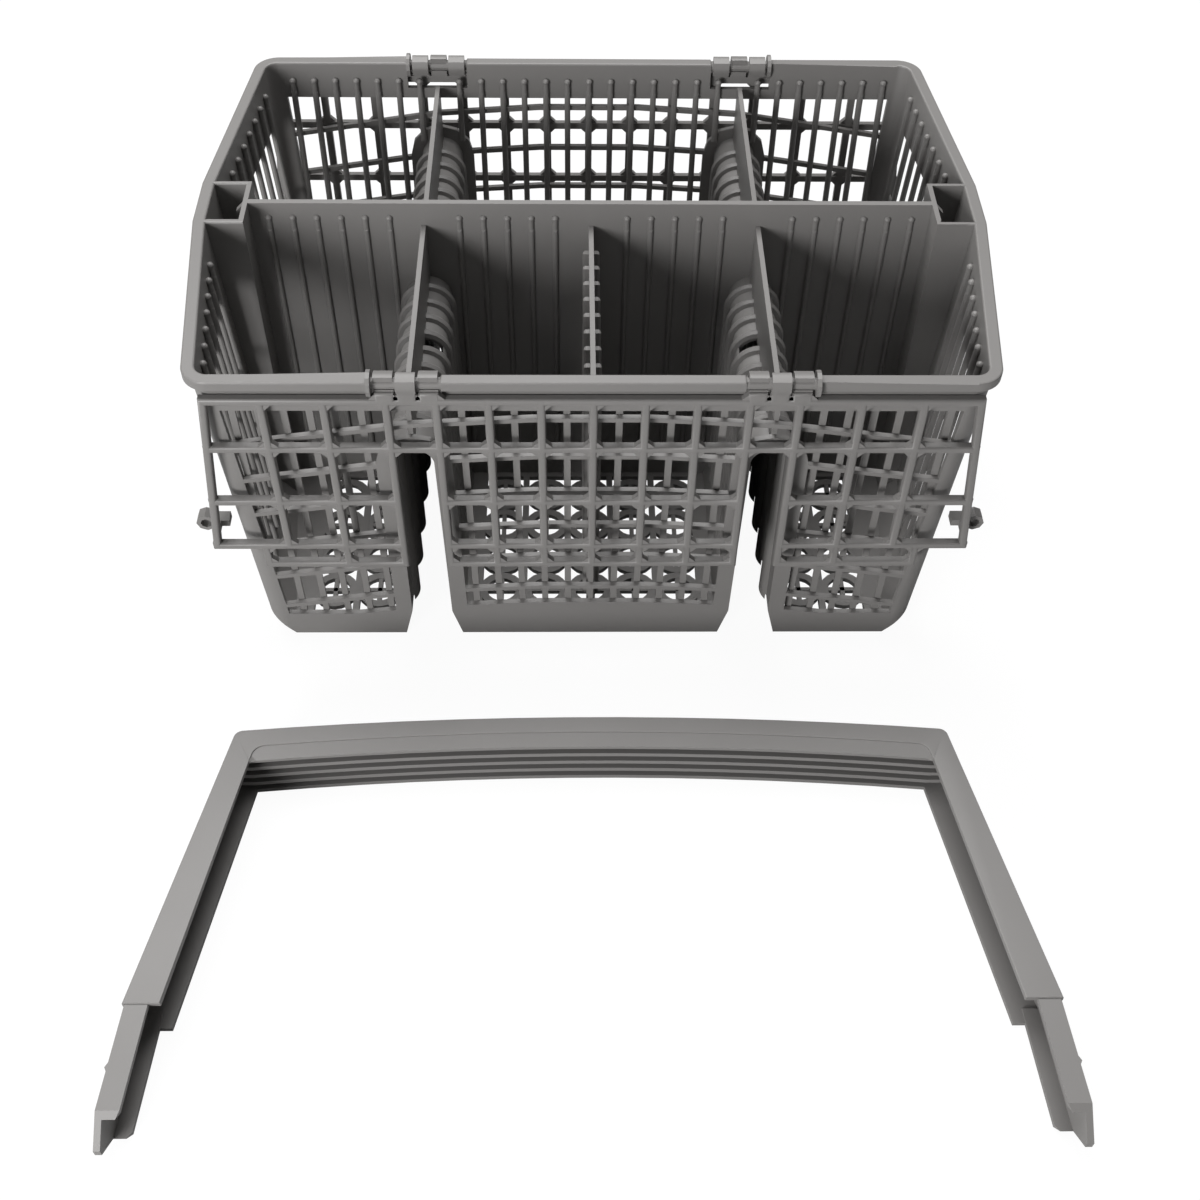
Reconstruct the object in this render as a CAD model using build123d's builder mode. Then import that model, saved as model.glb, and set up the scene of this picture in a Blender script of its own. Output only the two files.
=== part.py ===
from build123d import *

import os
from math import ceil, cos, hypot, radians, sin, tan

# Dishwasher cutlery basket: three bins with grille walls, two hinged grid lids, and a handle taken off.
# Millimetres. +Z is up, the front faces -Y, and the origin is the middle of the basket's underside.

# Rim and outer walls
rim_length = 227.5        # between the corners of the rim
rim_bow = 8.0             # how far each end stands out at the handle wells
bow_flat = 19.3           # flat part of each bowed end
rim_width = 167.0
rim_height = 119.5
corner_radius = 8.0
flange = 2.0              # rim standing out beyond the wall
flange_depth = 3.0
wall = 1.8
floor = 2.0
draft = 3.1               # slope of every outer wall, in degrees
end_slope_in = 7.0        # slope at the foot of the end walls
end_slope_up = 9.0

# Tunnels between the bins
tunnel_x = 52.5
tunnel_top_half = 6.0     # half the clear width where the arch springs
tunnel_foot_half = 6.6    # half the clear width above the foot slopes
tunnel_drop = 29.0        # rim to the crown of the arch
tunnel_wall = 1.2
foot_slope_in = 2.9       # slope at the foot of the tunnel sides
foot_slope_up = 12.0
roof_slot_length = 9.0    # drain slot through each tunnel roof
roof_slot_width = 5.5
roof_slot_y = 34.0

# Partition, dividers and handle wells
partition = 2.0
partition_reach = 2.4     # partition standing into each handle well
partition_chamfer = 3.0
divider = 1.5
divider_drop = 8.0
back_rib_width = 1.8      # ribs on the partition
back_rib_proud = 1.1
back_rib_drop = 9.0
back_rib_start = 10.5     # tunnel centre to the first of these ribs
back_rib_count = 5
comb_pitch = 7.6          # ribs across the centre divider
comb_first = 8.0
comb_count = 9
comb_proud = 1.9
comb_drop = 13.0
well_length = 10.2
well_width = 18.6
well_wall = 1.5

# Grilles
rib_width = 2.0
rib_proud = 1.6
rib_pitch = 7.5
outer_rib_start = 6.2     # tunnel centre to the first rib of an outer bin
outer_rib_pitch = 7.3
outer_rib_count = 7
rib_drop = 10.0
rib_gap = 0.2             # ribs to the back of the bars
bar_height = 1.6
bar_first = 16.4
bar_pitch = 15.6
bar_bow = 520.0           # radius of the bars' arch, drawn as a few straight runs
window_top = 12.8
window_bottom = 102.5
window_foot = 109.0       # level bottom edge at the outer ends
window_side = 5.8
collar = 5.2              # plain band around each tunnel mouth
end_rib_count = 7
end_window_top = 20.0
end_window_foot = 106.0
end_bar_first = 47.6
end_bar_pitch = 23.4
end_bar_count = 3
floor_pitch = 15.2
floor_bar = 2.2
floor_rows = 1

# Hinges
hinge_x = 52.5
pin_radius = 1.7
pin_seat = 1.0            # pin ends buried in the rim
notch_width = 20.6
notch_depth = 7.4         # pin axis to the notch floor
disc_radius = 3.85
disc = 1.2
clip_play = 0.08
clip_wall = 1.4
clip_width = 5.4
clip_lap = 1.2            # clips reach this far past the pin axis

# Lids
lid_thickness = 2.5
lid_gap = 0.05            # pin axis to the plate
lid_start = 4.2           # pin axis to the plate's edge
lid_bar = 2.4
lid_upper_cell = 18.3
lid_cell = 21.8
lid_lower_cell = 19.3
lid_edge_cell = 8.3
panel_half = 44.0
panel_columns = 6
panel_slot = 14.0
outer_cell = 17.5
lid_end_gap = 0.9         # closed lid to the inside of the end walls
lid_well_gap = 6.0        # closed lid to the handle wells
boss_radius = 2.8
boss_bore = 1.6
boss_length = 4.0
boss_lift = 2.0           # pin axis to the start of the boss
boss_rise = 6.0           # boss above the row that ends the outer column
boss_reach = 2.3          # end of the lid to the middle of the boss

# Handle, lying flat on its back in front of the basket
handle_gap = 39.4         # rim to the top of the arch
handle_depth = 17.6
handle_half = 109.2       # half the width at the upper corners
handle_rise = 4.9         # rise of the arch
handle_leg = 89.0         # corner to shoulder, along Y
handle_splay = 18.0       # how far the legs spread on the way
handle_web = 1.8
handle_flange = 1.6
handle_grip = 10.9        # width of the grip
leg_top = 7.6
leg_foot = 10.3
fin_count = 3
tongue_length = 37.0
tongue_width = 6.3
tongue_inset = 0.6
tongue_splay = 2.6
tongue_lap = 4.0
tip_length = 8.0
tip_blunt = 1.2           # half the height left at the point
grip_band = 5.6           # raised outer band of the grip
grip_step = 0.45
grip_round = 4.0
bump_from = 14.0
bump_length = 7.0
bump_proud = 0.9

round_sides = 8           # flats around the small clips and tubes
disc_sides = 12           # flats around the pins, their discs and the collars
bite = 0.3                # inner walls run this far into the walls that carry them
past = 1.0                # cutters run this far past what they cut

# Values that follow from the sizes above
half_length = rim_length / 2
half_width = rim_width / 2
inner = flange + wall
crown_z = rim_height - tunnel_drop
spring_z = crown_z - tunnel_top_half
well_out = half_length + rim_bow - inner
well_in = well_out - well_length
pin_y = half_width - inner / 2
pin_z = rim_height - pin_radius
clip_inner = pin_radius + clip_play
clip_outer = clip_inner + clip_wall
clip_space = (notch_width - disc - 3 * clip_width) / 4
bar_count = ceil((window_bottom - bar_first) / bar_pitch)
walls = [(0, -1), (1, -1), (1, 0), (1, 1), (0, 1), (-1, 1), (-1, 0), (-1, -1)]


def wall_run(depth):
    """How far a drafted wall has come in at this depth below the rim."""
    return depth * tan(radians(draft))


def rim_outline():
    """Eight-sided plan of the rim."""
    bow_half = bow_flat / 2
    bowed = half_length + rim_bow
    with BuildSketch() as outline:
        Polygon(
            (half_length, -half_width), (bowed, -bow_half), (bowed, bow_half), (half_length, half_width),
            (-half_length, half_width), (-bowed, bow_half), (-bowed, -bow_half), (-half_length, -half_width),
            align=None,
        )
        fillet(outline.vertices().filter_by(lambda v: abs(v.Y) > bow_flat), corner_radius)
    return outline.sketch


def facet(end, half):
    """A point at the top of one wall, and the wall's outward direction in plan.

    end is -1, 0 or 1 for left, neither and right, and half is -1, 0 or 1 for front, neither and back.
    """
    if not end:
        return Vector(0, half * half_width, rim_height), Vector(0, half, 0)
    run = half_width - bow_flat / 2
    point = Vector(end * (half_length + rim_bow), half * bow_flat / 2, rim_height)
    outward = Vector(end * run, half * rim_bow, 0) if half else Vector(end, 0, 0)
    return point, outward.normalized()


def wall_plane(end, half, inset):
    """Plane of one drafted wall, drawn in by inset at the rim, with its local Y up the wall."""
    point, outward = facet(end, half)
    along = Vector(-outward.Y, outward.X, 0)
    normal = outward * cos(radians(draft)) - Vector(0, 0, sin(radians(draft)))
    return Plane(origin=point - outward * inset, x_dir=along, z_dir=normal)


def foot_slope(end, half, inset):
    """Plane that slopes the foot of an end wall in towards the floor."""
    point, outward = facet(end, half)
    depth = rim_height - end_slope_up
    upper = point - outward * (inset + wall_run(depth)) - Vector(0, 0, depth)
    lower = point - outward * (inset + wall_run(rim_height) + end_slope_in) - Vector(0, 0, rim_height)
    along = Vector(-outward.Y, outward.X, 0)
    return Plane(origin=upper, x_dir=along, z_dir=along.cross(upper - lower))


def tunnel_profile(grow, flats=0):
    """Front view of both tunnels, moved out by grow, with a round arch or one of so many flats."""
    mouth_half = tunnel_foot_half + foot_slope_in + grow
    foot_half = tunnel_foot_half + grow
    top_half = tunnel_top_half + grow
    with BuildSketch() as profile:
        with Locations((-tunnel_x, 0), (tunnel_x, 0)):
            Polygon(
                (-mouth_half, -past), (mouth_half, -past), (mouth_half, 0), (foot_half, foot_slope_up),
                (top_half, spring_z), (-top_half, spring_z), (-foot_half, foot_slope_up), (-mouth_half, 0),
                align=None,
            )
        with Locations((-tunnel_x, spring_z), (tunnel_x, spring_z)):
            if flats:
                RegularPolygon(top_half, flats)
            else:
                Circle(top_half)
    return profile.sketch


def drafted_block(inset, depth):
    """Solid inside the outer walls, drawn in by inset, from the rim down to depth."""
    with BuildPart() as block:
        with Locations((0, 0, rim_height)):
            Box(2 * rim_length, 2 * rim_width, depth, align=(Align.CENTER, Align.CENTER, Align.MAX))
        for end, half in walls:
            split(bisect_by=wall_plane(end, half, inset), keep=Keep.BOTTOM)
        upright = block.edges().filter_by(lambda e: abs(e.tangent_at(0).Z) > 0.9)
        corners = upright.filter_by(lambda e: abs(e.center().Y) > bow_flat)
        fillet(corners, corner_radius - inset)
        for end, half in walls:
            if end:
                split(bisect_by=foot_slope(end, half, inset), keep=Keep.BOTTOM)
        with BuildSketch(Plane.XZ):
            add(tunnel_profile(max(inset - flange, 0) / wall * tunnel_wall))
        extrude(amount=rim_width, both=True, mode=Mode.SUBTRACT)
    return block.part


def hollow(grow):
    """Space inside the walls, floor and tunnels, run into all of them by grow."""
    return drafted_block(inner - grow, rim_height - floor + grow)


def arch(depth):
    """Points along one arched line of the front wall, from left to right, at this depth in the middle."""
    stations = (-half_length, -tunnel_x, -tunnel_x / 3, tunnel_x / 3, tunnel_x, half_length)
    return [Vector(x, -depth - x * x / (2 * bar_bow)) for x in stations]


def window_area():
    """Part of the front wall that the grille takes up, outside the bands around the tunnels."""
    side = half_length - flange - window_side
    top_half = side - wall_run(window_top)
    foot_half = side - wall_run(window_foot)
    with BuildSketch() as area:
        Polygon(
            (-top_half, -window_top), (-foot_half, -window_foot),
            (foot_half, -window_foot), (top_half, -window_top), align=None,
        )
        Polygon(*arch(window_bottom), (half_length, -rim_height), (-half_length, -rim_height),
                align=None, mode=Mode.SUBTRACT)
        with Locations((0, -rim_height)):
            add(tunnel_profile(collar, disc_sides), mode=Mode.SUBTRACT)
    return area.sketch


def arched_bars():
    """The bars of the front wall, across its whole length."""
    lift = Vector(0, bar_height / 2)
    with BuildSketch() as bars:
        for n in range(bar_count):
            line = arch(bar_first + n * bar_pitch)
            Polygon(*[p + lift for p in line], *[p - lift for p in reversed(line)], align=None)
    return bars.sketch


def hanging_ribs(stations, foot):
    """Ribs of the grilles that start rib_drop below the rim at these places and end at foot."""
    with BuildSketch() as ribs:
        with Locations(*[(x, -rib_drop) for x in stations]):
            Rectangle(rib_width, foot - rib_drop, align=(Align.CENTER, Align.MAX))
    return ribs.sketch


# Openings in the front, back and end walls
with BuildPart() as front_windows:
    with BuildSketch(wall_plane(0, -1, flange)):
        add(window_area())
        add(arched_bars(), mode=Mode.SUBTRACT)
    extrude(amount=2 * wall, both=True)
    with BuildSketch(wall_plane(0, -1, inner)):
        add(window_area())
    extrude(amount=rib_gap)
    mirror(about=Plane.XZ)

end_span = end_rib_count * rib_pitch
end_middle = -hypot(half_width - bow_flat / 2, rim_bow) / 2
with BuildPart() as end_windows:
    with BuildSketch(wall_plane(1, -1, flange)):
        with Locations((end_middle, -end_window_top)):
            Rectangle(end_span, end_window_foot - end_window_top, align=(Align.CENTER, Align.MAX))
        with Locations(*[(end_middle, -end_bar_first - n * end_bar_pitch) for n in range(end_bar_count)]):
            Rectangle(end_span + past, bar_height, mode=Mode.SUBTRACT)
    extrude(amount=2 * wall, both=True)
    with BuildSketch(wall_plane(1, -1, inner)):
        with Locations((end_middle, -end_window_top)):
            Rectangle(end_span, end_window_foot - end_window_top, align=(Align.CENTER, Align.MAX))
    extrude(amount=rib_gap)
    mirror(about=Plane.XZ)
    mirror(about=Plane.YZ)

# Ribs on the inside of those walls
middle_count = int((tunnel_x - outer_rib_start) / rib_pitch)
middle_ribs = [n * rib_pitch for n in range(1 - middle_count, middle_count)]
outer_ribs = [tunnel_x + outer_rib_start + n * outer_rib_pitch for n in range(outer_rib_count)]
collar_ribs = [middle_count * rib_pitch, outer_ribs[0]]
with BuildPart() as wall_ribs:
    with BuildSketch(wall_plane(0, -1, inner)):
        add(hanging_ribs(middle_ribs, window_foot + past))
        add(hanging_ribs([side * x for x in outer_ribs[1:] for side in (-1, 1)], window_foot + past))
        add(hanging_ribs([side * x for x in collar_ribs for side in (-1, 1)], tunnel_drop))
    extrude(amount=-rib_proud)
    mirror(about=Plane.XZ)

with BuildPart() as end_ribs:
    with BuildSketch(wall_plane(1, -1, inner)):
        stations = [end_middle + (n - (end_rib_count - 1) / 2) * rib_pitch for n in range(end_rib_count)]
        add(hanging_ribs(stations, end_window_foot + past))
    extrude(amount=-rib_proud)
    mirror(about=Plane.XZ)
    mirror(about=Plane.YZ)

with BuildPart() as ribs_inside:
    add(wall_ribs.part)
    add(end_ribs.part)
    add(hollow(0), mode=Mode.INTERSECT)

# Partition, dividers and handle wells, trimmed to the inside of the basket
floor_zone = floor + foot_slope_up
back_rib_length = rim_height - back_rib_drop - floor_zone - bite
comb_length = rim_height - comb_drop - floor_zone - bite
back_ribs = [(n + 1.5) * rib_pitch for n in range(back_rib_count)]
back_ribs += [tunnel_x + back_rib_start + n * rib_pitch for n in range(back_rib_count + 1)]
with BuildPart() as fittings:
    with BuildSketch(Plane.XZ) as partition_face:
        with Locations((0, rim_height)):
            Rectangle(2 * (well_in + partition_reach), rim_height, align=(Align.CENTER, Align.MAX))
        chamfer(partition_face.vertices().group_by(Axis.Y)[-1], partition_chamfer)
    extrude(amount=partition / 2, both=True)
    with BuildSketch(Plane.YZ):
        with Locations((0, rim_height - divider_drop)):
            Rectangle(half_width, rim_height, align=Align.MAX)
    extrude(amount=divider / 2, both=True)
    with BuildSketch(Plane.XZ):
        with Locations(*[(side * x, rim_height - back_rib_drop) for x in back_ribs for side in (-1, 1)]):
            Rectangle(back_rib_width, back_rib_length, align=(Align.CENTER, Align.MAX))
    extrude(amount=partition / 2 + back_rib_proud, both=True)
    with BuildSketch(Plane.YZ):
        with Locations(*[(-comb_first - n * comb_pitch, rim_height - comb_drop) for n in range(comb_count)]):
            Rectangle(back_rib_width, comb_length, align=(Align.CENTER, Align.MAX))
    extrude(amount=divider / 2 + comb_proud, both=True)
    for side in (-1, 1):
        with BuildSketch(Plane.YZ.offset(side * tunnel_x)):
            with Locations((0, crown_z)):
                Rectangle(rim_width, tunnel_drop - divider_drop, align=(Align.CENTER, Align.MIN))
        extrude(amount=divider / 2, both=True)
    with BuildSketch(Plane.XY.offset(rim_height)):
        for side in (-1, 1):
            with Locations((side * (well_in + well_out) / 2, 0)):
                Rectangle(well_length + 2 * well_wall, well_width + 2 * well_wall)
                Rectangle(well_length, well_width, mode=Mode.SUBTRACT)
    extrude(amount=-rim_height)
    add(hollow(bite), mode=Mode.INTERSECT)

# Drain slots through the tunnel roofs, beside the dividers
with BuildPart() as roof_slots:
    with BuildSketch(Plane.XY.offset(spring_z)):
        for half in (-1, 1):
            for side in (-1, 1):
                with Locations((side * (tunnel_x - (divider + roof_slot_width) / 2), half * roof_slot_y)):
                    Rectangle(roof_slot_width, roof_slot_length)
    extrude(amount=tunnel_top_half + tunnel_wall + past)

# Hinge notches in the rim, and the pins that cross them
hinges = [(side, half) for side in (-1, 1) for half in (-1, 1)]
with BuildPart() as notches:
    with BuildSketch(Plane.XY.offset(pin_z - notch_depth)):
        with Locations(*[(side * hinge_x, half * pin_y) for side, half in hinges]):
            Rectangle(notch_width, inner + 2 * past)
    extrude(amount=notch_depth + rim_height)

with BuildPart() as pins:
    for side, half in hinges:
        pin_plane = Plane(origin=(side * hinge_x, half * pin_y, pin_z), z_dir=(side, 0, 0))
        with BuildSketch(pin_plane):
            RegularPolygon(pin_radius, disc_sides)
        extrude(amount=notch_width / 2 + pin_seat, both=True)
        with BuildSketch(pin_plane.offset(notch_width / 2 - disc)):
            RegularPolygon(disc_radius, disc_sides)
        extrude(amount=disc)

# Basket, first as one moulding
floor_bay = half_width - wall_run(rim_height) - inner - well_wall
with BuildPart() as moulding:
    add(drafted_block(flange, rim_height))
    with BuildSketch(Plane.XY.offset(rim_height)):
        add(rim_outline())
    extrude(amount=-flange_depth)
    add(hollow(0), mode=Mode.SUBTRACT)
    add(front_windows.part, mode=Mode.SUBTRACT)
    add(end_windows.part, mode=Mode.SUBTRACT)

    # Floor lattice
    slot_pitch = (floor_bay - partition) / floor_rows
    floor_y = floor_bay / 2 + partition / 2
    middle_floor = tunnel_x - tunnel_foot_half - foot_slope_in - tunnel_wall
    outer_from = 2 * tunnel_x - middle_floor
    outer_to = half_length - inner - wall_run(rim_height) - end_slope_in
    with BuildSketch():
        for half in (-1, 1):
            with Locations((0, half * floor_y)):
                with GridLocations(floor_pitch, slot_pitch, int(2 * middle_floor / floor_pitch), floor_rows):
                    Rectangle(floor_pitch - floor_bar, slot_pitch - floor_bar)
            for side in (-1, 1):
                columns = int((outer_to - outer_from) / floor_pitch)
                with Locations((side * (outer_from + outer_to) / 2, half * floor_y)):
                    with GridLocations(floor_pitch, slot_pitch, columns, floor_rows):
                        Rectangle(floor_pitch - floor_bar, slot_pitch - floor_bar)
    extrude(amount=floor + bite, mode=Mode.SUBTRACT)

    add(roof_slots.part, mode=Mode.SUBTRACT)
    add(notches.part, mode=Mode.SUBTRACT)

    # Everything that stands on the shell
    inside = fittings.part - roof_slots.part - notches.part
    add([inside, ribs_inside.part, pins.part])

# The moulding in zones: rims, flat walls, floors and upright frames around the open bins and tunnels
zone_inset = max(inner + rib_proud, inner / 2 + disc_radius) + bite
roof_zone = spring_z + tunnel_top_half / 4
roof_half = tunnel_foot_half + tunnel_wall + bite
pieces = {}


def zone(source, *cuts):
    """What is left of a solid on the chosen side of each cutting plane."""
    with BuildPart() as piece:
        add(source)
        for plane, keep in cuts:
            split(bisect_by=plane, keep=keep)
    return piece.part


with BuildPart() as bin_space:
    with Locations((0, 0, rim_height)):
        Box(2 * rim_length, 2 * rim_width, rim_height + past, align=(Align.CENTER, Align.CENTER, Align.MAX))
    for end, half in walls:
        split(bisect_by=wall_plane(end, half, zone_inset), keep=Keep.BOTTOM)

with BuildPart() as roof_boxes:
    with Locations((-tunnel_x, 0, roof_zone), (tunnel_x, 0, roof_zone)):
        Box(2 * roof_half, rim_width, rim_height, align=(Align.CENTER, Align.CENTER, Align.MIN))

front_cut = wall_plane(0, -1, zone_inset)
back_cut = wall_plane(0, 1, zone_inset)
left_cut = Plane.YZ.offset(-tunnel_x)
right_cut = Plane.YZ.offset(tunnel_x)
floor_cut = Plane.XY.offset(floor_zone)
roof_cut = Plane.XY.offset(roof_zone)
bays = {
    "left": [(left_cut, Keep.BOTTOM)],
    "middle": [(left_cut, Keep.TOP), (right_cut, Keep.BOTTOM)],
    "right": [(right_cut, Keep.TOP)],
}
for face, cut in (("front", front_cut), ("back", back_cut)):
    whole_wall = zone(moulding.part, (cut, Keep.TOP))
    pieces[f"{face}_rim"] = zone(whole_wall, (roof_cut, Keep.TOP))
    for bay, cuts in bays.items():
        pieces[f"{face}_{bay}_wall"] = zone(whole_wall, (roof_cut, Keep.BOTTOM), *cuts)

between_walls = zone(moulding.part, (front_cut, Keep.BOTTOM), (back_cut, Keep.BOTTOM))
for bay, cuts in bays.items():
    bin_core = zone(between_walls, *cuts)
    if bay != "middle":
        with BuildPart() as bin_end:
            add(bin_core)
            add(bin_space.part, mode=Mode.SUBTRACT)
        pieces[f"{bay}_end"] = bin_end.part
    with BuildPart() as uprights:
        add(bin_core)
        add(bin_space.part, mode=Mode.INTERSECT)
        add(roof_boxes.part, mode=Mode.SUBTRACT)
    pieces[f"{bay}_floor"] = zone(uprights.part, (floor_cut, Keep.BOTTOM))
    pieces[f"{bay}_frame"] = zone(uprights.part, (floor_cut, Keep.TOP))

roofs = zone(between_walls, (roof_cut, Keep.TOP))
for bay, side in (("left", -1), ("right", 1)):
    inside_cut = Plane.YZ.offset(side * (tunnel_x - roof_half))
    outside_cut = Plane.YZ.offset(side * (tunnel_x + roof_half))
    keeps = (Keep.TOP, Keep.BOTTOM) if side > 0 else (Keep.BOTTOM, Keep.TOP)
    pieces[f"{bay}_roof"] = zone(roofs, (inside_cut, keeps[0]), (outside_cut, keeps[1]))

# Lids, hanging from their pins
row_1 = lid_upper_cell
row_2 = row_1 + lid_cell
row_3 = row_2 + lid_lower_cell
row_4 = row_3 + lid_edge_cell
top_row_z = pin_z - lid_start - lid_bar / 2


def lid_end(drop):
    """Half length of the lid at this row, which clears the end wall when the lid is shut."""
    shut_y = pin_y - lid_start - lid_bar / 2 - drop
    bowed = rim_bow * (half_width - shut_y) / (half_width - bow_flat / 2)
    return half_length - inner + bowed - lid_end_gap


def lid_row(drop, start, stop):
    """One level bar of the right half of the lid."""
    with Locations(((start + stop) / 2, top_row_z - drop)):
        Rectangle(stop - start, lid_bar)


def lid_column(x, drop, top=0.0):
    """One upright bar of the right half of the lid, from one row down to another."""
    with Locations((x, top_row_z - (top + drop) / 2)):
        Rectangle(lid_bar, drop - top + lid_bar)


outer_edge = panel_half + panel_slot
well_edge = well_in - well_wall - lid_well_gap
end_half = lid_bar / 2
boss_z = top_row_z - row_3 + boss_rise
arm_x = lid_end(row_3 - boss_rise)
boss_x = arm_x + boss_reach
with BuildPart() as front_lid:
    with BuildSketch(Plane.XZ.offset(pin_y + lid_gap)) as grid:
        for drop in (0, row_1):
            lid_row(drop, 0, lid_end(drop))
        for drop in (row_2, row_3):
            lid_row(drop, 0, panel_half)
            lid_row(drop, outer_edge, lid_end(drop))
        lid_row(row_4, 0, panel_half)
        lid_row(row_4, outer_edge, well_edge)
        for n in range(panel_columns // 2 + 1):
            lid_column(2 * n * panel_half / panel_columns, row_4)
        for n in range(2):
            lid_column(outer_edge + n * outer_cell, row_4)
        lid_column(outer_edge + 2 * outer_cell, row_3)
        lid_column(well_edge, row_4, row_3)
        Polygon(
            (lid_end(0), top_row_z + end_half), (lid_end(0) - lid_bar, top_row_z + end_half),
            (lid_end(row_3) - lid_bar, top_row_z - row_3 - end_half),
            (lid_end(row_3), top_row_z - row_3 - end_half), align=None,
        )
        mirror(about=Plane.YZ)
    extrude(amount=lid_thickness)

    # Snap clips: two from the inside and one from the outside of each pin
    for side in (-1, 1):
        outer_end = side * (hinge_x + notch_width / 2 - disc - clip_space)
        for n in range(3):
            start = outer_end - side * n * (clip_width + clip_space)
            from_outside = n == 1
            with BuildSketch(Plane.YZ.offset(start - side * clip_width / 2)):
                with Locations((-pin_y, pin_z)):
                    RegularPolygon(clip_outer, round_sides, major_radius=False)
                    RegularPolygon(clip_inner, round_sides, major_radius=False, mode=Mode.SUBTRACT)
                keep = clip_outer + clip_lap
                shift = clip_lap - keep / 2 if from_outside else keep / 2 - clip_lap
                with Locations((-pin_y + shift, pin_z)):
                    Rectangle(keep, 2 * clip_outer, mode=Mode.INTERSECT)
                strap = lid_start + end_half - clip_inner - bite
                with Locations((-pin_y - lid_gap, pin_z - lid_start - end_half)):
                    Rectangle(lid_thickness, strap, align=(Align.MAX, Align.MIN))
            extrude(amount=clip_width / 2, both=True)

        # Tube that springs over the end of the rim when the lid is shut
        boss_plane = Plane.XZ.offset(pin_y - boss_lift)
        with BuildSketch(boss_plane):
            with Locations((side * boss_x, boss_z)):
                RegularPolygon(boss_radius, round_sides, major_radius=False)
        extrude(amount=-boss_length)
        with BuildSketch(boss_plane):
            with Locations((side * arm_x, boss_z)):
                Rectangle(2 * lid_bar, lid_bar, align=(Align.MAX if side > 0 else Align.MIN, Align.CENTER))
        extrude(amount=-boss_length)
        with BuildSketch(Plane.XZ.offset(pin_y + lid_gap)):
            with Locations((side * arm_x, boss_z)):
                Rectangle(lid_bar, lid_bar, align=(Align.MAX if side > 0 else Align.MIN, Align.CENTER))
        extrude(amount=-boss_lift - lid_gap - boss_length)
        with BuildSketch(boss_plane):
            with Locations((side * boss_x, boss_z)):
                RegularPolygon(boss_bore, round_sides, major_radius=False)
        extrude(amount=-boss_length, mode=Mode.SUBTRACT)

with BuildPart() as back_lid:
    add(front_lid.part, rotation=(0, 0, 180))


# Handle
def handle_frame(grip, top, foot):
    """Plan of the arched grip and the two legs, with the width of each."""
    shoulder = handle_half + handle_splay
    shoulder_y = -handle_rise - handle_leg
    inner_y = -handle_rise - grip
    inner_x = handle_half + handle_splay * grip / handle_leg - top
    with BuildSketch() as frame:
        with BuildLine():
            ThreePointArc((-handle_half, -handle_rise), (0, 0), (handle_half, -handle_rise))
            Polyline(
                (handle_half, -handle_rise), (shoulder, shoulder_y),
                (shoulder - foot, shoulder_y), (inner_x, inner_y),
            )
            ThreePointArc((inner_x, inner_y), (0, -grip), (-inner_x, inner_y))
            Polyline(
                (-inner_x, inner_y), (foot - shoulder, shoulder_y),
                (-shoulder, shoulder_y), (-handle_half, -handle_rise),
            )
        make_face()
    return frame.sketch


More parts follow.
